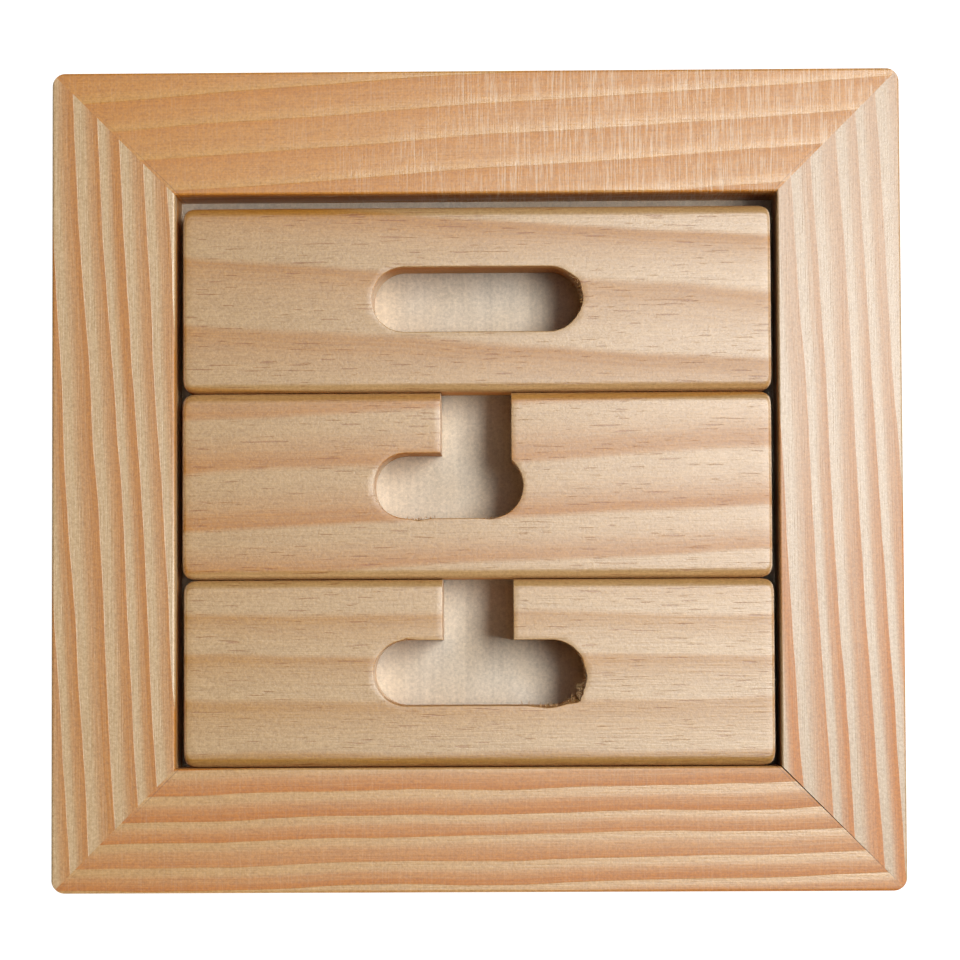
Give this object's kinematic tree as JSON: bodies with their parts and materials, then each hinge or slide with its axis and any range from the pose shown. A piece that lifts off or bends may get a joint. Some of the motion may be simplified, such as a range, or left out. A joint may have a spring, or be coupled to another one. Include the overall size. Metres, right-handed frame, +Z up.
{
  "type": "wooden puzzle box",
  "caption": "Shallow mitred pine tray holding slotted pine boards side by side, which lift out and interlock into a cross.",
  "frame": {"origin": "centre of the tray's underside", "axes": "+X along the boards and the tray's longer side, +Y towards the rear rail, +Z up out of the open tray"},
  "size_m": [0.13, 0.1256, 0.015],
  "materials": {
    "rail_pine": "planed pine with strong orange latewood bands, eased edges, no varnish",
    "board_pine": "sanded pale pine with soft bands and short resin streaks, rounded edges",
    "floor_plywood": "pale thin plywood, fine straight grain, sanded",
    "nail_steel": "plain bright steel"
  },
  "bodies": {
    "tray": {"front_rail": "rail_pine", "rear_rail": "rail_pine", "left_rail": "rail_pine", "right_rail": "rail_pine", "mitre_nails_front_left": "nail_steel", "mitre_nails_front_right": "nail_steel", "mitre_nails_rear_left": "nail_steel", "mitre_nails_rear_right": "nail_steel", "floor_panel": "floor_plywood", "panel_pins_front": "nail_steel", "panel_pins_rear": "nail_steel", "panel_pins_left": "nail_steel", "panel_pins_right": "nail_steel"},
    "closed_board": {"closed_slot_board": "board_pine"},
    "hook_board": {"hook_slot_board": "board_pine"},
    "tee_board": {"tee_slot_board": "board_pine"}
  },
  "joints": [
    {"name": "closed_board_lift", "type": "slide", "parent": "tray", "child": "closed_board", "axis": [0, 0, 1], "range_m": [0, 0.03]},
    {"name": "hook_board_lift", "type": "slide", "parent": "tray", "child": "hook_board", "axis": [0, 0, 1], "range_m": [0, 0.03]},
    {"name": "tee_board_lift", "type": "slide", "parent": "tray", "child": "tee_board", "axis": [0, 0, 1], "range_m": [0, 0.03]}
  ]
}
